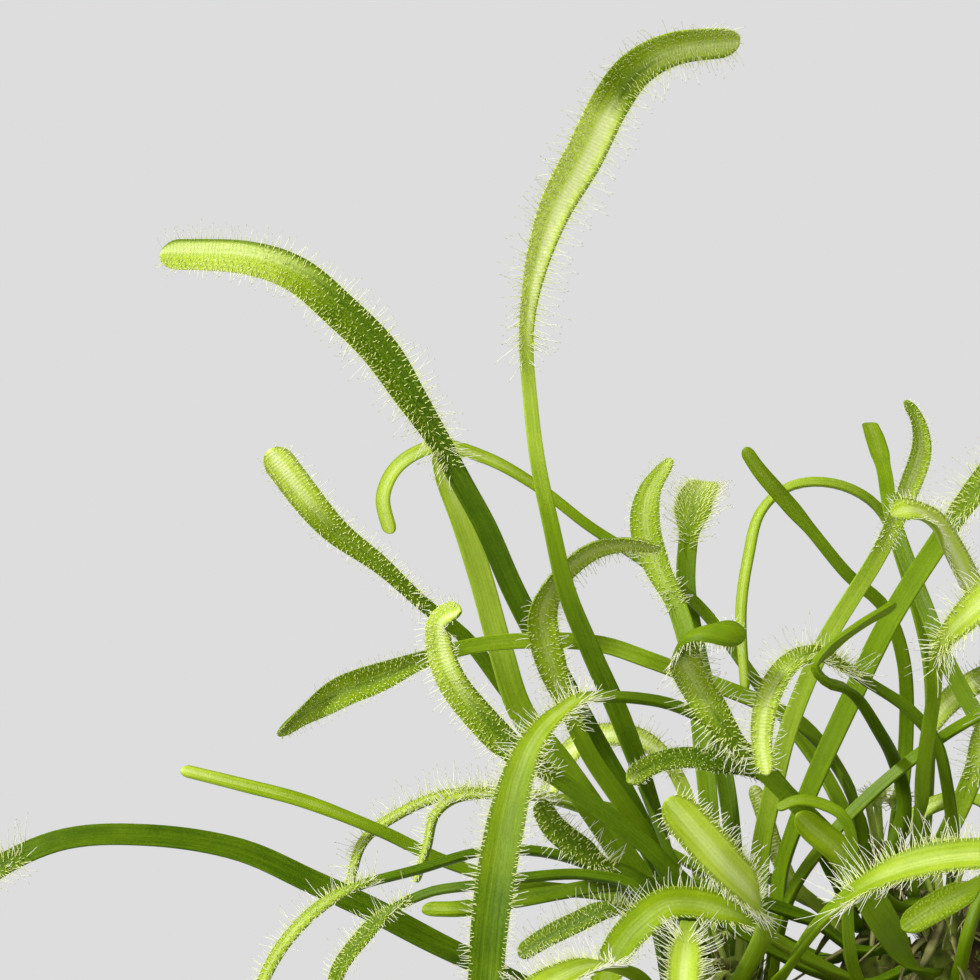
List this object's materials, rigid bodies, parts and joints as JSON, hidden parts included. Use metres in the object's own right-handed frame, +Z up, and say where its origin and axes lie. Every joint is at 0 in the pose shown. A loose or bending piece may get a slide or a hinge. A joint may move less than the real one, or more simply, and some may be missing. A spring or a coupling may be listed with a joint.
{
  "type": "potted sundew plant",
  "caption": "Cape sundew in a plain round pot: tall strap leaves with channelled, tentacled blades on smooth stalks, from short crowns in a peat hummock.",
  "frame": {"origin": "centre of the pot's underside, on the surface that it stands on", "axes": "+Z up along the pot's axis; -Y towards the side that the plant is seen from; +X to that viewer's right"},
  "size_m": [0.2126, 0.1297, 0.2068],
  "materials": {
    "pot": "satin moulded",
    "peat": "rough, moist",
    "crown": "fibrous, matte",
    "leaf": "satin, translucent"
  },
  "bodies": {
    "root": {"pot": "pot", "peat": "peat", "crown_left": "crown", "crown_back": "crown", "crown_front": "crown", "crown_right": "crown", "crown_low": "crown", "leaf_01": "leaf", "leaf_02": "leaf", "leaf_03": "leaf", "leaf_04": "leaf", "leaf_05": "leaf", "leaf_06": "leaf", "leaf_07": "leaf", "leaf_08": "leaf", "leaf_09": "leaf", "leaf_10": "leaf", "leaf_11": "leaf", "leaf_12": "leaf", "leaf_13": "leaf", "leaf_14": "leaf", "leaf_15": "leaf", "leaf_16": "leaf", "leaf_17": "leaf", "leaf_18": "leaf", "leaf_19": "leaf", "leaf_20": "leaf", "leaf_21": "leaf", "leaf_22": "leaf", "leaf_23": "leaf", "leaf_24": "leaf", "leaf_25": "leaf", "leaf_26": "leaf", "leaf_27": "leaf", "leaf_28": "leaf", "leaf_29": "leaf", "leaf_30": "leaf", "leaf_31": "leaf", "leaf_32": "leaf", "leaf_33": "leaf", "leaf_34": "leaf", "leaf_35": "leaf", "leaf_36": "leaf", "leaf_37": "leaf", "leaf_38": "leaf", "leaf_39": "leaf", "leaf_40": "leaf", "leaf_41": "leaf", "leaf_42": "leaf", "leaf_43": "leaf", "leaf_44": "leaf", "leaf_45": "leaf", "leaf_46": "leaf", "leaf_47": "leaf", "leaf_48": "leaf", "leaf_49": "leaf", "leaf_50": "leaf", "leaf_51": "leaf", "leaf_52": "leaf"}
  },
  "joints": []
}
